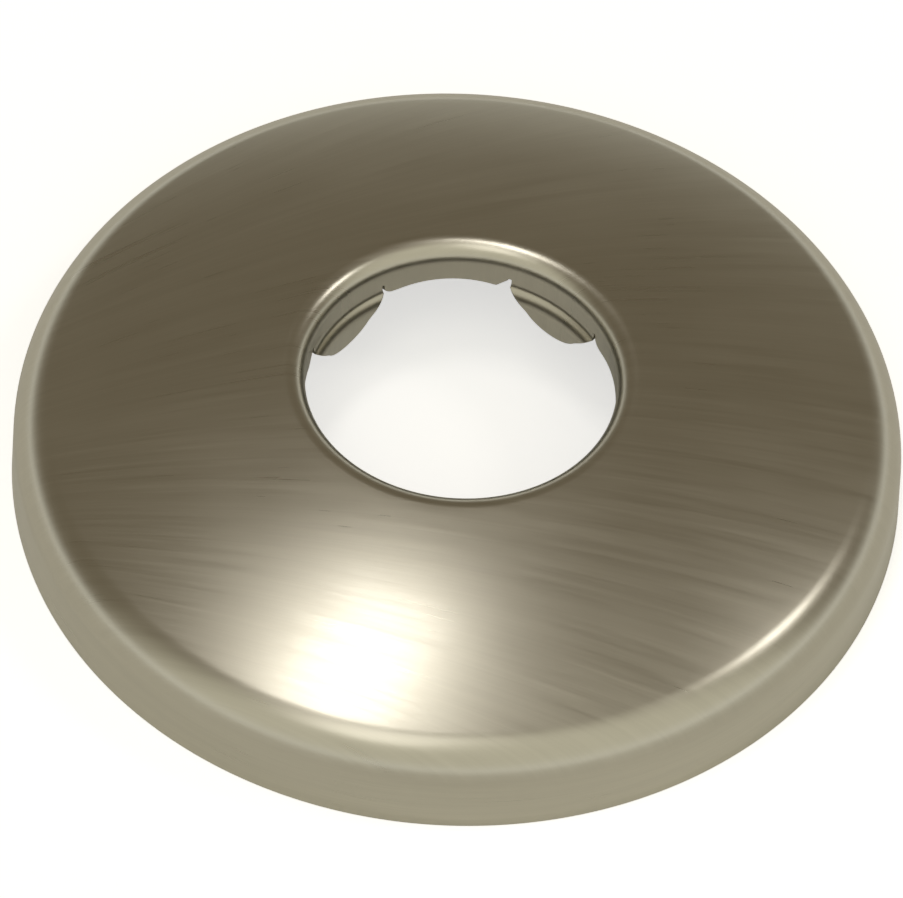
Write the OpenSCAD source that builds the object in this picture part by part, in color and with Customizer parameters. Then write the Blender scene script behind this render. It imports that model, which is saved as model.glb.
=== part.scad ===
// Shower arm flange, pressed from one disc of sheet: a skirt, a rounded shoulder and a domed
// crown that turns through a tight lip into a short collar. Four petals hang from the collar,
// stepped inwards by an S bend, and grip the pipe. The wall is the plane z = 0.

/* [Pipe] */
// Outside diameter of the shower arm, a half inch pipe
pipe_d = 21.3; // [17:0.1:27]
// Free space between the pipe and the collar, on the radius
collar_gap = 0.35; // [0.2:0.05:0.8]
// How far the petals stand in the pipe's way, on the radius
petal_squeeze = 0.2; // [0.05:0.05:0.3]

/* [Flange] */
// Outside diameter at the wall
flange_d = 63.5; // [56:0.5:90]
// Thickness of the sheet
sheet_t = 0.8; // [0.5:0.05:1]
// Height of the skirt, up to where the shoulder starts to turn
skirt_h = 3.8; // [2.5:0.1:6]
// Draft of the skirt, in degrees from upright
skirt_draft = 2.6; // [0.5:0.1:6]
// Radius of the shoulder, on the visible face
shoulder_r = 3.7; // [2:0.1:5]
// Radius of the domed crown, on the visible face
crown_r = 93; // [75:1:140]

/* [Collar] */
// Radius of the lip between the crown and the collar, on the visible face
lip_r = 1.45; // [1.2:0.05:2]
// Depth of the collar, from the top of the lip to its edge midway between two petals
collar_depth = 3.1; // [2.9:0.05:4]
// How much the collar edge hangs lower beside the petals than midway
edge_arch = 0.25; // [0.1:0.05:0.4]

/* [Petals] */
// Number of petals
petals = 4; // [3:1:6]
// Width of a petal where it leaves the collar edge
petal_w = 7.6; // [6.6:0.1:8.2]
// How far a petal hangs below the collar edge
petal_reach = 2.7; // [2.2:0.1:3.5]
// Radius of a petal's rounded tip
petal_tip_r = 2.7; // [1.6:0.1:3]
// Inside radius of the two bends that step a petal inwards
petal_bend_r = 0.8; // [0.6:0.05:1]
// Height above the collar edge at which the first bend starts
petal_bend_up = 0.45; // [0.3:0.05:0.6]

/* [Relief cuts] */
// Height of the cuts beside each petal, above the collar edge
relief_h = 0.7; // [0.5:0.05:0.9]
// Radius at the top of the open cut
open_relief_r = 0.2; // [0.1:0.02:0.25]
// Width of the open cut at the collar edge
open_relief_w = 1; // [0.7:0.1:1.2]
// Radius at the top of the narrow cut
narrow_relief_r = 0.1; // [0.06:0.01:0.15]
// Radius of the collar's corner at the narrow cut
narrow_corner_r = 0.75; // [0.4:0.05:0.9]

/* [Hidden] */
$fn = 180;

nickel = [0.66, 0.63, 0.56];
reach = 2 * flange_d;
collar_r = pipe_d / 2 + collar_gap;
grip_r = pipe_d / 2 - petal_squeeze;

// Centres of the rounded stretches in the half section, where x is the radius and y the height.
// The crown is part of a sphere centred on the axis that the shoulder and the lip both touch.
shoulder_c = [flange_d / 2 - skirt_h * tan(skirt_draft) - shoulder_r * cos(skirt_draft),
              skirt_h - shoulder_r * sin(skirt_draft)];
crown_c = [0, shoulder_c.y - leg(crown_r - shoulder_r, shoulder_c.x)];
lip_x = collar_r + lip_r;
lip_c = [lip_x, crown_c.y + leg(crown_r - lip_r, lip_x)];
edge_z = lip_c.y + lip_r - collar_depth;

// Directions in which the visible face looks at the ends of the crown and at the skirt
crown_top_a = bearing(crown_c, lip_c);
crown_foot_a = bearing(crown_c, shoulder_c);
skirt_a = skirt_draft;

// The S bend turns about one centre on the pipe's side and one behind the petal
bend_out_r = petal_bend_r + sheet_t;
upper_bend_c = [collar_r - petal_bend_r, edge_z + petal_bend_up];
lower_bend_x = grip_r + bend_out_r;
lower_bend_c = [lower_bend_x,
                upper_bend_c.y - leg(petal_bend_r + bend_out_r, lower_bend_x - upper_bend_c.x)];
bend_a = bearing(upper_bend_c, lower_bend_c);

// Petal outline, with y measured from the collar edge. The flanks aim a little inside the tip
// circle, so that they cross it and never skim it.
tip_c = [0, petal_tip_r - petal_reach];
flank_top = [petal_w / 2, 0];
flank_aim_r = 0.99 * petal_tip_r;
flank_a = bearing(tip_c, flank_top) - acos(flank_aim_r / norm(flank_top - tip_c));
flank_foot = tip_c + polar(flank_aim_r, flank_a);
root_overlap = 0.3;

// Where the two cuts beside a petal end along the collar, across the petal's middle line. All
// the cuts run on past the collar's foot, so that their corners lie in the open below it.
open_side = petal_w / 2 + 1.5 * open_relief_r;
open_end = petal_w / 2 + open_relief_w;
narrow_side = petal_w / 2 + 1.5 * narrow_relief_r;
narrow_end = narrow_side + narrow_corner_r;
corner_cross = 0.04 * narrow_corner_r;
past_foot = 0.5;
below_edge = edge_arch + past_foot;
corner_flat_a = 1;
half_gap_a = 180 / petals - asin(open_end / collar_r) - corner_flat_a;
arch_half_w = collar_r * sin(half_gap_a);
arch_r = (arch_half_w * arch_half_w + edge_arch * edge_arch) / (2 * edge_arch);

function leg(hypotenuse, other) = sqrt(hypotenuse * hypotenuse - other * other);
function bearing(from, to) = atan2(to.y - from.y, to.x - from.x);
function polar(r, a) = r * [cos(a), sin(a)];

// Moves to a point in a coarse and a fine step, so that rounding never parts faces that touch
module at(p) {
    coarse = [for (v = p) round(v * 1000) / 1000];
    translate(coarse) translate(p - coarse) children();
}

// Everything past the line through p that is crossed when travelling in direction a
module beyond(p, a) at(p) rotate(a) translate([0, -reach]) square([reach, 2 * reach]);

// Sheet bent round c, with its outer face at radius r
module bent_sheet(c, r) difference() {
    at(c) circle(r);
    at(c) circle(r - sheet_t);
}

module collar_section() {
    drop = collar_depth - lip_r + edge_arch;
    at(lip_c) translate([-lip_r, -drop]) square([sheet_t, drop]);
}

module lip_section() difference() {
    bent_sheet(lip_c, lip_r);
    beyond(lip_c, crown_top_a - 90);
    beyond(lip_c, -90);
}

module crown_section() difference() {
    intersection() {
        bent_sheet(crown_c, crown_r);
        beyond(lip_c, crown_top_a - 90);
    }
    beyond(shoulder_c, crown_foot_a - 90);
}

module shoulder_section() difference() {
    intersection() {
        bent_sheet(shoulder_c, shoulder_r);
        beyond(shoulder_c, crown_foot_a - 90);
    }
    beyond(shoulder_c, skirt_a - 90);
}

module skirt_section() intersection() {
    difference() {
        beyond(shoulder_c + polar(shoulder_r, skirt_a), skirt_a + 180);
        beyond(shoulder_c + polar(shoulder_r - sheet_t, skirt_a), skirt_a + 180);
    }
    beyond(shoulder_c, skirt_a - 90);
    square(reach);
}

module sheet_section() {
    collar_section();
    lip_section();
    crown_section();
    shoulder_section();
    skirt_section();
}

// Section of a ring that has the petals' S bend all the way round
module petal_section() {
    root_h = relief_h - petal_bend_up + 2 * root_overlap;
    at(upper_bend_c) translate([petal_bend_r, 0]) square([sheet_t, root_h]);
    difference() {
        bent_sheet(upper_bend_c, bend_out_r);
        beyond(upper_bend_c, 90);
        beyond(upper_bend_c, bend_a - 90);
    }
    difference() {
        intersection() {
            bent_sheet(lower_bend_c, bend_out_r);
            beyond(upper_bend_c, bend_a - 90);
        }
        beyond(lower_bend_c, -90);
    }
    at(lower_bend_c) translate([-bend_out_r, -petal_reach]) square([sheet_t, petal_reach]);
}

// Extrudes an outline, drawn with y measured from the collar edge, outwards through the collar
module through_collar(a) {
    start = 0.8 * collar_r;
    end = collar_r + 2 * sheet_t;
    rotate(a) translate([start, 0, 0]) rotate([90, 0, 90])
        linear_extrude(end - start) at([0, edge_z]) children();
}

module petal_outline() {
    at(tip_c) circle(petal_tip_r);
    polygon([
        [-flank_foot.x, flank_foot.y],
        flank_foot,
        flank_top,
        [flank_top.x, relief_h + root_overlap],
        [-flank_top.x, relief_h + root_overlap],
        [-flank_top.x, flank_top.y],
    ]);
}

// Open cut on one side of a petal, with a slanted flank towards the collar edge
module open_relief_outline() {
    top = relief_h - open_relief_r;
    slant = (open_end - open_side) / (edge_arch + top);
    translate([petal_w / 2 + open_relief_r / 2, top]) circle(open_relief_r);
    polygon([[0, -below_edge], [open_end + slant * past_foot, -below_edge], [open_side, top], [0, top]]);
}

// Narrow cut on the other side, where the collar's corner is rounded. The corner circle lies a
// little over the cut's side and the foot, so that it crosses them and never skims them.
module narrow_relief_outline() {
    top = relief_h - narrow_relief_r;
    corner_y = narrow_corner_r - edge_arch - corner_cross;
    translate([-petal_w / 2 - narrow_relief_r / 2, top]) circle(narrow_relief_r);
    translate([-narrow_side, -below_edge]) square([narrow_side, below_edge + top]);
    difference() {
        translate([-narrow_end, -below_edge]) square([narrow_corner_r, below_edge + corner_y]);
        translate([corner_cross - narrow_end, corner_y]) circle(narrow_corner_r);
    }
}

// Space under the arched collar edge between two petals
module arch_outline() intersection() {
    translate([0, -arch_r]) circle(arch_r);
    translate([-arch_half_w - root_overlap, -below_edge])
        square([2 * (arch_half_w + root_overlap), 2 * below_edge]);
}

module flange() color(nickel) {
    petal_angles = [for (i = [0 : petals - 1]) (i + 0.5) * 360 / petals];
    difference() {
        rotate_extrude() sheet_section();
        for (a = petal_angles) through_collar(a) {
            open_relief_outline();
            narrow_relief_outline();
        }
        for (a = petal_angles) through_collar(a + 180 / petals) arch_outline();
    }
    intersection() {
        rotate_extrude() petal_section();
        for (a = petal_angles) through_collar(a) petal_outline();
    }
}

flange();
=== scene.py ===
"""Shower arm flange, pressed from one disc of sheet metal and brushed, on a plain pale stage.

One sector of the sheet, from the middle of one gap between two petals to the next, is drawn as a
mesh, and Geometry Nodes turn it round the pipe. Lengths are held in metres in the settings and
worked with in millimetres. The wall is the plane z = 0 and the pipe's axis is Z.
"""

import math

import bmesh
import bpy
import numpy as np
from bpy.props import FloatProperty, FloatVectorProperty, IntProperty, PointerProperty
from mathutils import Matrix, Vector
from mathutils.geometry import delaunay_2d_cdt


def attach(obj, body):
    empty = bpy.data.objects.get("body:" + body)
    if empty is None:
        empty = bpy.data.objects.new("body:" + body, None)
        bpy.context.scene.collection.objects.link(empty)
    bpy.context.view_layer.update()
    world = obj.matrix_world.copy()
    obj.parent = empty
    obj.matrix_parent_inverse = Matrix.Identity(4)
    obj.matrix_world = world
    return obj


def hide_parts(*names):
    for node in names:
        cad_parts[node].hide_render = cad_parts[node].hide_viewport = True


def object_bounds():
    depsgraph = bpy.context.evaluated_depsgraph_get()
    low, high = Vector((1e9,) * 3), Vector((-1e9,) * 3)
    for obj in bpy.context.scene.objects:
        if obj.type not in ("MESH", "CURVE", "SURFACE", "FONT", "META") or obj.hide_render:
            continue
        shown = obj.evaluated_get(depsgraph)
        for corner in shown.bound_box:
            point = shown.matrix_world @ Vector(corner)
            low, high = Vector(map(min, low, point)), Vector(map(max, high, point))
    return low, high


bl_info = {
    "name": "Shower Arm Flange",
    "version": (1, 0, 0),
    "blender": (4, 5, 0),
    "location": "3D View > Sidebar > Flange",
    "description": "Builds a pressed and brushed shower arm flange on a pale stage",
    "category": "Add Mesh",
}

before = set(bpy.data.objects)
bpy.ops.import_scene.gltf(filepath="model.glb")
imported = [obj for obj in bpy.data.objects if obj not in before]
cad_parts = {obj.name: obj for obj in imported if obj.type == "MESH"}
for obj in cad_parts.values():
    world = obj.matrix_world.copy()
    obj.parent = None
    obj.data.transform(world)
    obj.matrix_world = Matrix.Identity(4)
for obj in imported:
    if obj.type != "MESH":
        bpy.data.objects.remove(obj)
cad_low, cad_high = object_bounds()

MM = 0.001
LONGEST = 200.0
MERGE = 0.003
NODE = "flange"


def length(name, about, default_mm):
    """A length setting, given in millimetres and held in metres."""
    return FloatProperty(
        name=name, description=about, default=default_mm * MM, min=0.0, max=LONGEST * MM,
        precision=5, unit="LENGTH", subtype="DISTANCE",
    )


def fraction(name, about, default):
    """A plain number from nought to one."""
    return FloatProperty(name=name, description=about, default=default, min=0.0, max=1.0)


def colour(name, about, default):
    """A colour setting."""
    return FloatVectorProperty(
        name=name, description=about, default=default, min=0.0, max=1.0, size=3, subtype="COLOR"
    )


class FlangeSizes(bpy.types.PropertyGroup):
    """Sizes of the pressed sheet."""

    flange_d: length("Flange", "Outside diameter at the wall", (cad_high.x - cad_low.x) / MM)
    pipe_d: length("Pipe", "Outside diameter of the shower arm", 21.3)
    collar_gap: length("Collar gap", "Free space between pipe and collar, on the radius", 0.35)
    petal_squeeze: length("Squeeze", "How far the petals stand in the pipe's way", 0.2)
    sheet_t: length("Sheet", "Thickness of the sheet", 0.8)
    skirt_h: length("Skirt", "Height of the skirt, up to the shoulder", 3.8)
    skirt_draft: FloatProperty(
        name="Draft", description="Lean of the skirt from upright",
        default=math.radians(2.6), min=0.0, max=math.radians(10), subtype="ANGLE",
    )
    shoulder_r: length("Shoulder", "Radius of the shoulder, on the visible face", 3.7)
    crown_r: length("Crown", "Radius of the domed crown, on the visible face", 93)
    lip_r: length("Lip", "Radius of the lip, on the visible face", 1.45)
    collar_depth: length("Collar depth", "From the top of the lip to the collar's edge", 3.1)
    edge_arch: length("Edge arch", "How much lower the collar's edge hangs beside the petals", 0.25)
    petals: IntProperty(name="Petals", description="Number of petals", default=4, min=3, max=6)
    petal_w: length("Petal width", "Width of a petal at the collar's edge", 7.6)
    petal_reach: length("Petal reach", "How far a petal hangs below the collar's edge", 2.7)
    petal_tip_r: length("Petal tip", "Radius of a petal's rounded tip", 2.7)
    petal_bend_r: length("Petal bend", "Inside radius of the two bends of a petal", 0.8)
    petal_bend_up: length("Bend start", "Height of the first bend above the collar's edge", 0.45)
    relief_h: length("Relief height", "Height of the cuts beside a petal", 0.7)
    open_relief_r: length("Open cut radius", "Radius at the top of the open cut", 0.2)
    open_relief_w: length("Open cut width", "Width of the open cut at the collar's edge", 1.0)
    narrow_relief_r: length("Narrow cut radius", "Radius at the top of the narrow cut", 0.1)
    narrow_corner_r: length("Corner radius", "Radius of the collar's corner at that cut", 0.75)
    edge_break: length("Edge break", "Rounding left on the sheet's cut edges", 0.06)


class NickelFinish(bpy.types.PropertyGroup):
    """Colour and brushing of the plated metal."""

    metal: colour("Metal", "Colour of the brushed nickel", (0.66, 0.63, 0.54))
    roughness: fraction("Roughness", "Blur of the brushed face", 0.3)
    coat: fraction("Lacquer", "Weight of the thin clear lacquer", 0.35)
    coat_roughness: fraction("Lacquer roughness", "Blur of the lacquer", 0.12)
    streak_w: length("Streak width", "Width of the finest brush marks", 0.12)
    streak_l: length("Streak length", "Length of the brush marks", 9)
    streak_relief: length("Streak relief", "Depth of the brush marks", 0.0016)
    fan_distance: length("Brush fan", "Distance of the point that the marks fan out from", 60)


class StageSettings(bpy.types.PropertyGroup):
    """Floor, background and light."""

    floor: colour("Floor", "Colour of the floor", (0.9, 0.9, 0.88))
    backdrop: colour("Backdrop", "Colour behind the object", (1.0, 1.0, 1.0))
    room: colour("Room", "Colour of the dim room above the pale sweep", (0.15, 0.125, 0.085))
    front: colour("Room front", "Colour of the lighter room in front", (0.62, 0.6, 0.5))
    sweep: colour("Sweep", "Colour of the pale sweep round the object", (0.8, 0.8, 0.74))


# ---- Shader and node helpers


class Wire:
    """One socket of a node tree, so that shader maths reads as plain expressions."""

    def __init__(self, tree, socket):
        self.tree, self.socket = tree, socket

    @staticmethod
    def node(tree, kind, settings=None, inputs=None, output=0):
        """Adds a node, sets it up, fills its sockets, and returns one of its outputs."""
        made = tree.nodes.new(kind)
        for key, value in (settings or {}).items():
            setattr(made, key, value)
        for key, value in (inputs or {}).items():
            if isinstance(value, Wire):
                tree.links.new(value.socket, made.inputs[key])
            elif isinstance(value, bpy.types.NodeSocket):
                tree.links.new(value, made.inputs[key])
            else:
                made.inputs[key].default_value = value
        return made if output is None else Wire(tree, made.outputs[output])

    def math(self, operation, *values, clamp=False):
        """A Math node on this value and others."""
        settings = {"operation": operation, "use_clamp": clamp}
        return Wire.node(self.tree, "ShaderNodeMath", settings, dict(enumerate((self,) + values)))

    def __add__(self, other):
        return self.math("ADD", other)

    __radd__ = __add__

    def __mul__(self, other):
        return self.math("MULTIPLY", other)

    __rmul__ = __mul__

    def __sub__(self, other):
        return self.math("SUBTRACT", other)

    def __rsub__(self, other):
        return (self * -1.0) + other

    def __truediv__(self, other):
        return self.math("DIVIDE", other)

    def __rtruediv__(self, other):
        return Wire.node(
            self.tree, "ShaderNodeMath", {"operation": "DIVIDE"}, {0: other, 1: self}
        )

    def part(self, axis):
        """One component of a vector."""
        made = self.tree.nodes.new("ShaderNodeSeparateXYZ")
        self.tree.links.new(self.socket, made.inputs[0])
        return Wire(self.tree, made.outputs[axis])

    def ramp(self, low, high):
        """Rises smoothly from 0 at low to 1 at high, and falls when low is above high."""
        flip = low > high
        inputs = {"Value": self, "From Min": min(low, high), "From Max": max(low, high)}
        if flip:
            inputs.update({"To Min": 1.0, "To Max": 0.0})
        settings = {"interpolation_type": "SMOOTHSTEP"}
        return Wire.node(self.tree, "ShaderNodeMapRange", settings, inputs)

    def mix(self, first, second):
        """Goes from the first colour to the second as this value goes from 0 to 1."""
        inputs = {"Factor": self, 6: first, 7: second}
        settings = {"data_type": "RGBA"}
        return Wire.node(self.tree, "ShaderNodeMix", settings, inputs, 2)


def fresh_tree(owner):
    """The owner's node tree, emptied."""
    owner.use_nodes = True
    owner.node_tree.nodes.clear()
    return owner.node_tree


def paint(rgb):
    """A colour with its alpha, for a node's colour socket."""
    return (*rgb, 1.0)


# ---- Drawing the sheet, in millimetres


def bearing(start, end):
    return math.atan2(end[1] - start[1], end[0] - start[0])


def leg(hypotenuse, other):
    return math.sqrt(hypotenuse * hypotenuse - other * other)


def arc(centre, radius, start, end, steps):
    """Points along an arc, both ends included."""
    turns = [start + (end - start) * i / steps for i in range(steps + 1)]
    return [(centre[0] + radius * math.cos(t), centre[1] + radius * math.sin(t)) for t in turns]


def straight(start, end, step):
    """Points along a line, both ends included, at most a step apart."""
    count = max(1, math.ceil(math.dist(start, end) / step - 1e-6))
    return [
        (start[0] + (end[0] - start[0]) * i / count, start[1] + (end[1] - start[1]) * i / count)
        for i in range(count + 1)
    ]


def joined(*runs):
    """Runs of points as one, without the points that two runs share."""
    points = []
    for run in runs:
        for p in run:
            if not points or math.dist(points[-1], p) > 1e-7:
                points.append(p)
    return points


class PressedSheet:
    """The section and the cut collar of the flange, in millimetres."""

    COLUMNS = 90
    SUPPORT = 0.03
    BREAK_STEPS = 4

    def __init__(self, sizes):
        for key in sizes.__annotations__:
            value = getattr(sizes, key)
            setattr(self, key, value if key in ("petals", "skirt_draft") else value / MM)
        t, draft = self.sheet_t, self.skirt_draft
        self.flange_r = self.flange_d / 2
        self.collar_r = self.pipe_d / 2 + self.collar_gap
        self.grip_r = self.pipe_d / 2 - self.petal_squeeze
        self.shoulder_c = (
            self.flange_r - self.skirt_h * math.tan(draft) - self.shoulder_r * math.cos(draft),
            self.skirt_h - self.shoulder_r * math.sin(draft),
        )
        self.crown_c = (
            0.0, self.shoulder_c[1] - leg(self.crown_r - self.shoulder_r, self.shoulder_c[0])
        )
        lip_x = self.collar_r + self.lip_r
        self.lip_c = (lip_x, self.crown_c[1] + leg(self.crown_r - self.lip_r, lip_x))
        self.edge_z = self.lip_c[1] + self.lip_r - self.collar_depth
        self.collar_top = self.lip_c[1] - self.edge_z
        self.crown_top_a = bearing(self.crown_c, self.lip_c)
        self.crown_foot_a = bearing(self.crown_c, self.shoulder_c)
        self.bend_out_r = self.petal_bend_r + t
        self.upper_c = (self.collar_r - self.petal_bend_r, self.edge_z + self.petal_bend_up)
        lower_x = self.grip_r + self.bend_out_r
        drop = leg(self.petal_bend_r + self.bend_out_r, lower_x - self.upper_c[0])
        self.lower_c = (lower_x, self.upper_c[1] - drop)
        self.bend_a = -bearing(self.upper_c, self.lower_c)
        self.half_sector = math.pi / self.petals

    def section(self):
        """Half section, from the top of the collar's visible face round to that of its back."""
        t, e, s = self.sheet_t, self.edge_break, self.SUPPORT
        draft, foot_r, top = self.skirt_draft, self.flange_r, math.pi
        slope, wide = math.tan(draft), e / math.cos(draft)
        out_c = (foot_r - e * slope - wide, e)
        in_c = (foot_r - t / math.cos(draft) - e * slope + wide, e)

        def skirt(radius, low):
            high = (
                self.shoulder_c[0] + radius * math.cos(draft),
                self.shoulder_c[1] + radius * math.sin(draft),
            )
            return (high[0] + (high[1] - low) * slope, low), high

        out_low, out_high = skirt(self.shoulder_r, e + s)
        in_low, in_high = skirt(self.shoulder_r - t, e + s)
        quarter = self.BREAK_STEPS
        return joined(
            arc(self.lip_c, self.lip_r, top, self.crown_top_a, 26),
            arc(self.crown_c, self.crown_r, self.crown_top_a, self.crown_foot_a, 26),
            arc(self.shoulder_c, self.shoulder_r, self.crown_foot_a, draft, 30),
            straight(out_high, out_low, 1.3),
            arc(out_c, e, draft, -math.pi / 2, quarter),
            [(out_c[0] - s, 0.0), (in_c[0] + s, 0.0)],
            arc(in_c, e, -math.pi / 2, draft - math.pi, quarter),
            straight(in_low, in_high, 1.8),
            arc(self.shoulder_c, self.shoulder_r - t, draft, self.crown_foot_a, 16),
            arc(self.crown_c, self.crown_r - t, self.crown_foot_a, self.crown_top_a, 14),
            arc(self.lip_c, self.lip_r - t, self.crown_top_a, top, 12),
        )

    def collar_edge(self):
        """Cut edge of the collar and one petal from gap to gap: turn about Z, height over edge."""
        half_w, foot = self.petal_w / 2, -self.edge_arch
        open_side = half_w + 1.5 * self.open_relief_r
        open_end = half_w + self.open_relief_w
        narrow_side = half_w + 1.5 * self.narrow_relief_r
        narrow_end = narrow_side + self.narrow_corner_r
        cross = 0.04 * self.narrow_corner_r
        gap_a = self.half_sector - math.asin(open_end / self.collar_r) - math.radians(1)
        arch_w = self.collar_r * math.sin(gap_a)
        arch_r = (arch_w ** 2 + self.edge_arch ** 2) / (2 * self.edge_arch)

        def arch(side):
            turns = [gap_a * i / 16 for i in range(17)]
            run = [
                (side * (self.half_sector - a), leg(arch_r, self.collar_r * math.sin(a)) - arch_r)
                for a in turns
            ]
            return run if side < 0 else run[::-1]

        def at_turn(points):
            return [(math.asin(x / self.collar_r), y) for x, y in points]

        # Narrow cut, on the side of the lower turn
        corner_r = self.narrow_corner_r
        corner_c = (cross - narrow_end, corner_r + foot - cross)
        dip = math.asin((corner_r - cross) / corner_r)
        corner = arc(corner_c, corner_r, -dip, dip - math.pi / 2, 9)
        narrow_c = (-half_w - self.narrow_relief_r / 2, self.relief_h - self.narrow_relief_r)
        narrow = arc(narrow_c, self.narrow_relief_r, math.pi, math.pi / 3, 9)
        # Petal
        tip_c, tip_r, aim = (0.0, self.petal_tip_r - self.petal_reach), self.petal_tip_r, 0.99
        top = (half_w, 0.0)
        flank_a = bearing(tip_c, top) - math.acos(aim * tip_r / math.dist(top, tip_c))
        back = leg(tip_r, aim * tip_r)
        meet = (
            tip_c[0] + aim * tip_r * math.cos(flank_a) - back * math.sin(flank_a),
            tip_c[1] + aim * tip_r * math.sin(flank_a) + back * math.cos(flank_a),
        )
        meet_a = bearing(tip_c, meet)
        tip = arc(tip_c, tip_r, -math.pi - meet_a, meet_a, 44)
        # Open cut, on the side of the higher turn
        open_c = (half_w + self.open_relief_r / 2, self.relief_h - self.open_relief_r)
        opened = arc(open_c, self.open_relief_r, 2 * math.pi / 3, 0.0, 10)
        fine = 0.09
        petal = joined(
            corner,
            straight(corner[-1], narrow[0], 0.2),
            narrow,
            straight(narrow[-1], (-half_w, 0.0), fine),
            straight((-half_w, 0.0), (-meet[0], meet[1]), fine),
            tip,
            straight(meet, top, fine),
            straight(top, opened[0], fine),
            opened,
            straight(opened[-1], (open_end, foot), 0.2),
        )
        return joined(arch(-1), at_turn(petal), arch(1))

    def radii(self, x, z):
        """Radius of the visible face and of the back at a place on the collar or a petal."""
        inner, outer = self.collar_r, self.collar_r + self.sheet_t
        bends = (
            (self.petal_bend_r, self.bend_out_r),
            (self.bend_out_r, self.petal_bend_r),
        )
        if abs(x) > self.petal_w / 2 + self.narrow_relief_r / 2 or z >= self.upper_c[1]:
            return inner, outer
        found = []
        for upper_r, lower_r in bends:
            change_z = self.upper_c[1] - upper_r * math.sin(self.bend_a)
            if z > change_z:
                found.append(self.upper_c[0] + leg(upper_r, self.upper_c[1] - z))
            else:
                found.append(self.lower_c[0] - leg(lower_r, max(0.0, z - self.lower_c[1])))
        return tuple(found)

    def place(self, turn, y, depth):
        """A point of the collar. The depth goes from 0 on the visible face to 1 on the back."""
        z = self.edge_z + y
        x = self.collar_r * math.sin(turn)
        inner, outer = self.radii(x, z)
        radius = inner + (outer - inner) * depth
        # The cuts run straight outwards, so beside a petal the back keeps the same x
        straight_a = math.asin(max(-1.0, min(1.0, x / radius)))
        hold = 1 - smooth(y, self.relief_h + 0.1, self.collar_top)
        side = 1 - smooth(abs(turn), 0.62 * self.half_sector, self.half_sector)
        a = turn + (straight_a - turn) * hold * side
        return radius * math.cos(a), radius * math.sin(a), z


def smooth(value, low, high):
    """Rises from 0 at low to 1 at high with level ends."""
    t = max(0.0, min(1.0, (value - low) / (high - low)))
    return t * t * (3 - 2 * t)


def inward(points):
    """For each point of an open run, the way into the sheet on its left, mitred at corners."""
    ways = []
    for i, p in enumerate(points):
        normals = []
        for a, b in ((i - 1, i), (i, i + 1)):
            if a < 0 or b >= len(points):
                continue
            dx, dy = points[b][0] - points[a][0], points[b][1] - points[a][1]
            size = math.hypot(dx, dy)
            normals.append((-dy / size, dx / size))
        if len(normals) == 1:
            ways.append((0.0, 1.0))
            continue
        (ax, ay), (bx, by) = normals
        scale = 1 + ax * bx + ay * by
        ways.append(((ax + bx) / scale, (ay + by) / scale))
    return ways


def fill_points(loop, rows, columns, clear):
    """Grid points that lie inside a closed loop and keep clear of it."""
    edge = np.array(loop)
    start, step = edge, np.roll(edge, -1, axis=0) - edge
    size = (step ** 2).sum(1)
    grid = np.array([(x, y) for y in rows for x in columns])
    kept = []
    for p in grid:
        way = p - start
        t = np.clip((way * step).sum(1) / size, 0, 1)
        near = np.sqrt((((way - step * t[:, None])) ** 2).sum(1)).min()
        if near < clear:
            continue
        above = (start[:, 1] > p[1]) != (start[:, 1] + step[:, 1] > p[1])
        with np.errstate(divide="ignore", invalid="ignore"):
            reach = start[:, 0] + (p[1] - start[:, 1]) * step[:, 0] / step[:, 1]
        if (above & (reach > p[0])).sum() % 2:
            kept.append(tuple(p))
    return kept


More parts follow.
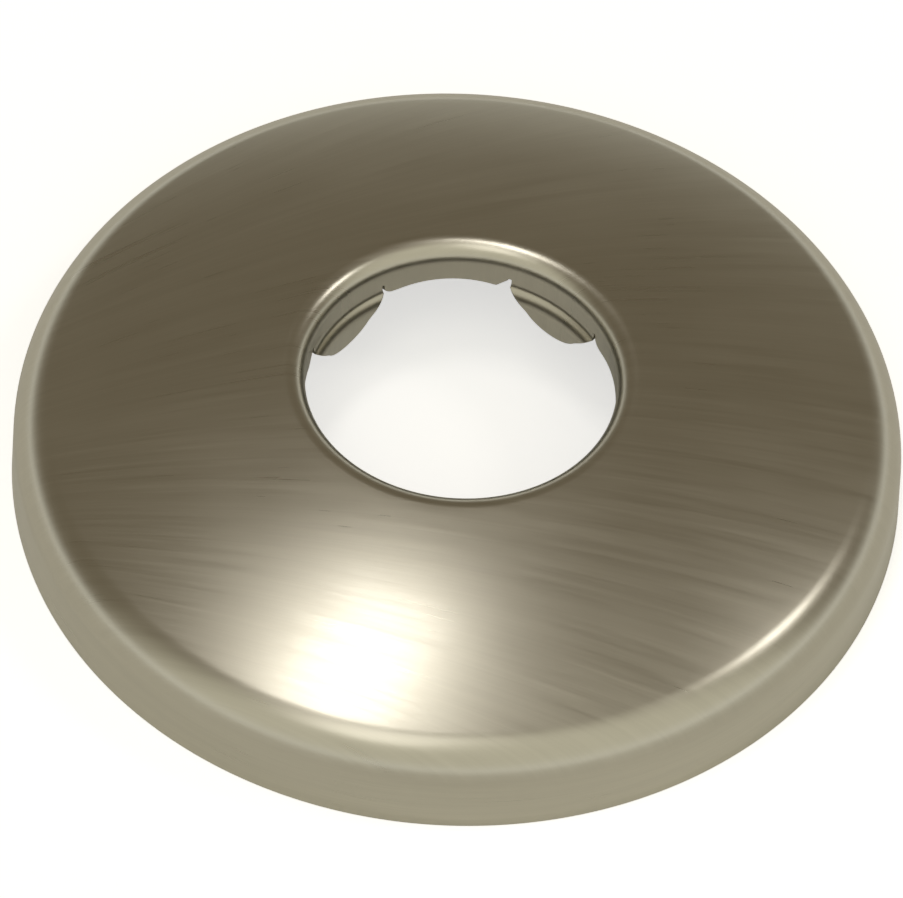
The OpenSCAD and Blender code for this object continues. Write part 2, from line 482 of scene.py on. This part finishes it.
def sector_mesh(sheet):
    """One sector of the flange, as a mesh in metres. Brushed faces carry the value 1."""
    half, ring = sheet.half_sector, sheet.collar_r
    turns = [-half + 2 * half * i / sheet.COLUMNS for i in range(sheet.COLUMNS + 1)]
    points, faces, brushed = [], [], []

    def add_strip(first, second, is_brushed):
        """Faces between two rows of points."""
        base = len(points)
        points.extend(first)
        points.extend(second)
        count = len(first)
        for i in range(count - 1):
            faces.append((base + i, base + i + 1, base + count + i + 1, base + count + i))
            brushed.append(is_brushed)

    # Everything that is turned about the axis
    section = sheet.section()
    foot = next(i for i, p in enumerate(section) if p[1] == 0.0)
    for i, (low, high) in enumerate(zip(section, section[1:])):
        rows = [
            [(r * math.cos(a), r * math.sin(a), z) for a in turns] for r, z in (low, high)
        ]
        add_strip(rows[0], rows[1], 1.0 if i < foot else 0.0)

    # The cut edge, rounded a little on both faces
    edge = [(ring * a, y) for a, y in sheet.collar_edge()]
    ways = inward(edge)
    e, s, steps = sheet.edge_break, sheet.SUPPORT, sheet.BREAK_STEPS
    deep = e / sheet.sheet_t
    rings = [(e + s, 0.0)]
    for i in range(steps + 1):
        a = math.pi / 2 * i / steps
        rings.append((e * (1 - math.sin(a)), deep * (1 - math.cos(a))))
    rings += [(inset, 1 - depth) for inset, depth in reversed(rings)]
    rows = [
        [
            sheet.place((p[0] + w[0] * inset) / ring, p[1] + w[1] * inset, depth)
            for p, w in zip(edge, ways)
        ]
        for inset, depth in rings
    ]
    for i, (first, second) in enumerate(zip(rows, rows[1:])):
        add_strip(first, second, 1.0 if i < steps else 0.0)

    # Both faces of the collar and the petal
    low_edge = [(p[0] + w[0] * (e + s), p[1] + w[1] * (e + s)) for p, w in zip(edge, ways)]
    bend_low, bend_high = sheet.lower_c[1] - sheet.edge_z, sheet.petal_bend_up
    levels = joined_levels(
        (-sheet.petal_reach, bend_low, 0.17), (bend_low, bend_high, 0.07),
        (bend_high, sheet.relief_h + 0.15, 0.09), (sheet.relief_h + 0.15, sheet.collar_top, 0.16),
    )
    sides = [y for y in levels if low_edge[-1][1] + 0.04 < y < sheet.collar_top - 1e-6]
    loop = (
        low_edge
        + [(ring * half, y) for y in sides]
        + [(ring * a, sheet.collar_top) for a in reversed(turns)]
        + [(-ring * half, y) for y in reversed(sides)]
    )
    inside = fill_points(loop, levels, [ring * a for a in turns[1:-1]], 0.045)
    count = len(loop)
    flat = [Vector(p) for p in loop + inside]
    border = [(i, (i + 1) % count) for i in range(count)]
    found, _, triangles, *_ = delaunay_2d_cdt(flat, border, [], 1, 1e-6)
    for depth, is_brushed in ((0.0, 1.0), (1.0, 0.0)):
        base = len(points)
        points.extend(sheet.place(v.x / ring, v.y, depth) for v in found)
        for triangle in triangles:
            faces.append(tuple(base + i for i in triangle))
            brushed.append(is_brushed)

    mesh = bpy.data.meshes.new("flange sector")
    mesh.from_pydata([(x * MM, y * MM, z * MM) for x, y, z in points], [], faces)
    mark = mesh.attributes.new("brushed", "FLOAT", "FACE")
    mark.data.foreach_set("value", brushed)
    return mesh


def joined_levels(*spans):
    """Heights through several spans, each with its own step."""
    levels = []
    for low, high, step in spans:
        count = max(1, round((high - low) / step))
        levels += [low + (high - low) * i / count for i in range(count)]
    return levels + [spans[-1][1]]


def turned_sector_tree():
    """Geometry Nodes that turn one sector round the pipe's axis."""
    tree = bpy.data.node_groups.new("Sector turned round the pipe", "GeometryNodeTree")
    for name, kind in (
        ("Sector", "NodeSocketGeometry"), ("Sectors", "NodeSocketInt"),
        ("Finish", "NodeSocketMaterial"),
    ):
        tree.interface.new_socket(name, in_out="INPUT", socket_type=kind)
    tree.interface.new_socket("Flange", in_out="OUTPUT", socket_type="NodeSocketGeometry")
    given = tree.nodes.new("NodeGroupInput")
    sectors = Wire(tree, given.outputs["Sectors"])
    index = Wire.node(tree, "GeometryNodeInputIndex")
    turn = (index + 0.5) * (2 * math.pi / sectors)
    angles = Wire.node(tree, "ShaderNodeCombineXYZ", inputs={"Z": turn})
    rotation = Wire.node(tree, "FunctionNodeEulerToRotation", inputs={0: angles})
    spots = Wire.node(tree, "GeometryNodePoints", inputs={"Count": sectors})
    copies = Wire.node(
        tree, "GeometryNodeInstanceOnPoints",
        inputs={"Points": spots, "Instance": given.outputs["Sector"], "Rotation": rotation},
    )
    whole = Wire.node(tree, "GeometryNodeRealizeInstances", inputs={"Geometry": copies})
    finished = Wire.node(
        tree, "GeometryNodeSetMaterial",
        inputs={"Geometry": whole, "Material": given.outputs["Finish"]},
    )
    end = tree.nodes.new("NodeGroupOutput")
    tree.links.new(finished.socket, end.inputs[0])
    return tree


def socket_key(tree, name):
    """Identifier of a tree's named input."""
    return next(
        item.identifier for item in tree.interface.items_tree
        if item.item_type == "SOCKET" and item.in_out == "INPUT" and item.name == name
    )


def closed_smooth(mesh):
    """Merges the seams of a mesh, turns its faces outwards and shades it smooth."""
    work = bmesh.new()
    work.from_mesh(mesh)
    bmesh.ops.remove_doubles(work, verts=work.verts, dist=MERGE * MM)
    bmesh.ops.recalc_face_normals(work, faces=work.faces)
    if work.calc_volume(signed=True) < 0:
        bmesh.ops.reverse_faces(work, faces=work.faces)
    open_edges = [edge for edge in work.edges if not edge.is_manifold]
    if open_edges:
        raise RuntimeError(f"the flange has {len(open_edges)} open edges")
    for face in work.faces:
        face.smooth = True
    work.to_mesh(mesh)
    work.free()
    mesh.update()


# ---- Finishes


def brushed_nickel(finish):
    """Warm nickel with fine brush marks that fan out over the crown."""
    material = bpy.data.materials.new("Brushed nickel")
    tree = fresh_tree(material)
    place = Wire.node(tree, "ShaderNodeTexCoord", output=3)
    x, y, z = (place.part(axis) / MM for axis in range(3))
    fan = finish.fan_distance / MM
    far_x = x + fan
    along = (far_x * far_x + y * y).math("SQRT")
    across = y.math("ARCTAN2", far_x) * fan
    on_skirt = z.ramp(5.6, 3.9)

    width, reach = finish.streak_w / MM, finish.streak_l / MM

    def streaks(across_mm, along_mm, seed, detail):
        flat = Wire.node(tree, "ShaderNodeCombineXYZ", inputs={
            "X": across / across_mm, "Y": along / along_mm, "Z": seed,
        })
        crown = Wire.node(
            tree, "ShaderNodeTexNoise", {"noise_dimensions": "3D"},
            {"Vector": flat, "Scale": 1.0, "Detail": detail, "Roughness": 0.6},
        )
        turn = y.math("ARCTAN2", x) * 30.0
        round_ = Wire.node(tree, "ShaderNodeCombineXYZ", inputs={
            "X": z / across_mm, "Y": turn / along_mm, "Z": seed,
        })
        skirt = Wire.node(
            tree, "ShaderNodeTexNoise", {"noise_dimensions": "3D"},
            {"Vector": round_, "Scale": 1.0, "Detail": detail, "Roughness": 0.6},
        )
        return crown + (skirt - crown) * on_skirt

    fine = streaks(width, reach, 3.7, 2.0)
    broad = streaks(width * 5, reach * 1.6, 11.3, 2.0)
    cloud = Wire.node(
        tree, "ShaderNodeTexNoise", {"noise_dimensions": "3D"},
        {"Vector": place, "Scale": 90.0, "Detail": 2.0, "Roughness": 0.5},
    )
    brushed = Wire.node(
        tree, "ShaderNodeAttribute", {"attribute_name": "brushed"}, output=2
    )
    grain = (fine - 0.5) * 0.6 + (broad - 0.5) * 0.7
    shade = 1 + grain * brushed * 0.16 + (cloud - 0.5) * 0.05
    metal = Wire.node(
        tree, "ShaderNodeVectorMath", {"operation": "SCALE"},
        {0: tuple(finish.metal), "Scale": shade},
    )
    rough = (cloud - 0.5) * 0.06 + grain * brushed * 0.12 + finish.roughness
    relief = Wire.node(
        tree, "ShaderNodeBump", None,
        {
            "Strength": 1.0, "Distance": finish.streak_relief,
            "Height": (fine + broad * 2.0) * brushed,
        },
    )
    shader = Wire.node(
        tree, "ShaderNodeBsdfPrincipled", None,
        {
            "Base Color": metal, "Metallic": 1.0, "Roughness": rough, "Normal": relief,
            "Coat Weight": finish.coat, "Coat Roughness": finish.coat_roughness,
        },
    )
    Wire.node(tree, "ShaderNodeOutputMaterial", None, {"Surface": shader}, None)
    return material


# ---- Operators


class FLANGE_OT_pressing(bpy.types.Operator):
    """Builds the flange as one pressed sheet and gives it its brushed finish"""

    bl_idname = "flange.pressing"
    bl_label = "Pressed flange"

    def execute(self, context):
        sheet = PressedSheet(context.scene.flange_sizes)
        sector = bpy.data.objects.new("flange sector", sector_mesh(sheet))
        context.scene.collection.objects.link(sector)
        tree = turned_sector_tree()
        turned = sector.modifiers.new("Turned", "NODES")
        turned.node_group = tree
        turned[socket_key(tree, "Sectors")] = sheet.petals
        turned[socket_key(tree, "Finish")] = brushed_nickel(context.scene.nickel_finish)
        context.view_layer.update()
        graph = context.evaluated_depsgraph_get()
        mesh = bpy.data.meshes.new_from_object(sector.evaluated_get(graph), depsgraph=graph)
        bpy.data.objects.remove(sector)
        mesh.name = "pressed flange"
        closed_smooth(mesh)
        flange = bpy.data.objects.new("pressed_flange", mesh)
        context.scene.collection.objects.link(flange)
        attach(flange, "root")
        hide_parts(NODE)
        return {"FINISHED"}


class FLANGE_OT_stage(bpy.types.Operator):
    """Sets the pale floor, the backdrop, the soft light and the camera"""

    bl_idname = "flange.stage"
    bl_label = "Stage, light and camera"

    # The view was measured on the photograph: azimuth, elevation and roll in degrees
    VIEW = (-8.0, 50.73, 3.3)
    DISTANCE = 0.45
    LENS = 250.5
    AIM = (-0.000403, 0.001242)
    # Half the floor's side, its gap under the sheet, and the light that it shows to the camera
    FLOOR_HALF = 2.0
    FLOOR_DROP = 0.00003
    FLOOR_GLOW = 0.62

    def execute(self, context):
        scene, look = context.scene, context.scene.flange_stage
        self.floor(scene, look)
        self.world(scene, look)
        self.lamps(scene)
        self.camera(scene)
        scene.view_settings.view_transform = "Standard"
        return {"FINISHED"}

    def floor(self, scene, look):
        """A wide pale floor that keeps the object's shadow."""
        half, low = self.FLOOR_HALF, -self.FLOOR_DROP
        corners = [(-half, -half, low), (half, -half, low), (half, half, low), (-half, half, low)]
        mesh = bpy.data.meshes.new("floor")
        mesh.from_pydata(corners, [], [(0, 1, 2, 3)])
        material = bpy.data.materials.new("Pale floor")
        tree = fresh_tree(material)
        paper = Wire.node(
            tree, "ShaderNodeBsdfDiffuse", None, {"Color": paint(look.floor), "Roughness": 0.0}
        )
        glow = Wire.node(
            tree, "ShaderNodeEmission", None, 
            {"Color": paint(look.backdrop), "Strength": self.FLOOR_GLOW},
        )
        seen = Wire.node(tree, "ShaderNodeLightPath")
        lifted = Wire.node(tree, "ShaderNodeAddShader", None, {0: paper, 1: glow})
        shown = Wire.node(tree, "ShaderNodeMixShader", None, {0: seen, 1: paper, 2: lifted})
        Wire.node(tree, "ShaderNodeOutputMaterial", None, {"Surface": shown}, None)
        mesh.materials.append(material)
        floor = bpy.data.objects.new("floor", mesh)
        scene.collection.objects.link(floor)

    def world(self, scene, look):
        """A dim room over a pale sweep, and a white background for the camera."""
        world = bpy.data.worlds.new("Studio")
        scene.world = world
        tree = fresh_tree(world)
        way = Wire.node(tree, "ShaderNodeTexCoord", output=0)
        up = way.part(2)
        nearness = way.part(1).ramp(0.1, -0.45)
        room = nearness.mix(paint(look.room), paint(look.front))
        around = up.ramp(0.3, 0.05).mix(room, paint(look.sweep))
        seen = Wire.node(tree, "ShaderNodeLightPath")
        shown = seen.mix(around, paint(look.backdrop))
        light = Wire.node(tree, "ShaderNodeBackground", None, {"Color": shown, "Strength": 1.0})
        Wire.node(tree, "ShaderNodeOutputWorld", None, {"Surface": light}, None)

    def lamps(self, scene):
        """Soft boxes: where they stand, how wide they are and how bright they look."""
        boxes = (
            ("overhead box", (-0.12, 0.09, 0.9), (0.3, 0.17), 5.0),
            ("front box", (-0.2, -0.36, 0.8), (0.3, 0.42), 1.1),
            ("right box", (0.6, 0.04, 0.72), (0.16, 0.2), 5.0),
        )
        for name, place, (wide, deep), glow in boxes:
            lamp = bpy.data.lights.new(name, "AREA")
            lamp.shape, lamp.size, lamp.size_y = "RECTANGLE", wide, deep
            lamp.energy = glow * math.pi * wide * deep
            lamp.color = (1.0, 0.98, 0.94)
            box = bpy.data.objects.new(name, lamp)
            box.matrix_world = Matrix.Translation(place) @ (
                Vector(place).to_track_quat("Z", "Y").to_matrix().to_4x4()
            )
            scene.collection.objects.link(box)

    def camera(self, scene):
        """The camera stands where the photograph was taken from."""
        azimuth, elevation, roll = (math.radians(v) for v in self.VIEW)
        back = Vector((
            math.sin(azimuth) * math.cos(elevation), -math.cos(azimuth) * math.cos(elevation),
            math.sin(elevation),
        ))
        right = Vector((math.cos(azimuth), math.sin(azimuth), 0.0))
        up = back.cross(right)
        spot = back * self.DISTANCE
        aim = right * self.AIM[0] + up * self.AIM[1]
        look = (spot - aim).normalized()
        right = (right - look * right.dot(look)).normalized()
        up = look.cross(right)
        turned_right = right * math.cos(roll) + up * math.sin(roll)
        turned_up = up * math.cos(roll) - right * math.sin(roll)
        data = bpy.data.cameras.new("camera")
        data.lens, data.sensor_width, data.sensor_fit = self.LENS, 36.0, "HORIZONTAL"
        data.clip_start, data.clip_end = 0.01, 20.0
        camera = bpy.data.objects.new("camera", data)
        axes = Matrix((turned_right, turned_up, look)).transposed().to_4x4()
        camera.matrix_world = Matrix.Translation(spot) @ axes
        scene.collection.objects.link(camera)
        scene.camera = camera


class FLANGE_PT_panel(bpy.types.Panel):
    """Lists the pieces and the stage"""

    bl_idname = "FLANGE_PT_panel"
    bl_label = "Shower arm flange"
    bl_space_type = "VIEW_3D"
    bl_region_type = "UI"
    bl_category = "Flange"

    def draw(self, context):
        for operator in OPERATORS:
            self.layout.operator(operator.bl_idname)


OPERATORS = (FLANGE_OT_pressing, FLANGE_OT_stage)
CLASSES = (FlangeSizes, NickelFinish, StageSettings) + OPERATORS + (FLANGE_PT_panel,)
SETTINGS = (
    ("flange_sizes", FlangeSizes), ("nickel_finish", NickelFinish), ("flange_stage", StageSettings)
)


def register():
    for item in CLASSES:
        bpy.utils.register_class(item)
    for name, group in SETTINGS:
        setattr(bpy.types.Scene, name, PointerProperty(type=group))


def unregister():
    for name, _ in SETTINGS:
        delattr(bpy.types.Scene, name)
    for item in reversed(CLASSES):
        bpy.utils.unregister_class(item)


def main():
    register()
    bpy.ops.flange.pressing()
    bpy.ops.flange.stage()


if __name__ == "__main__":
    main()
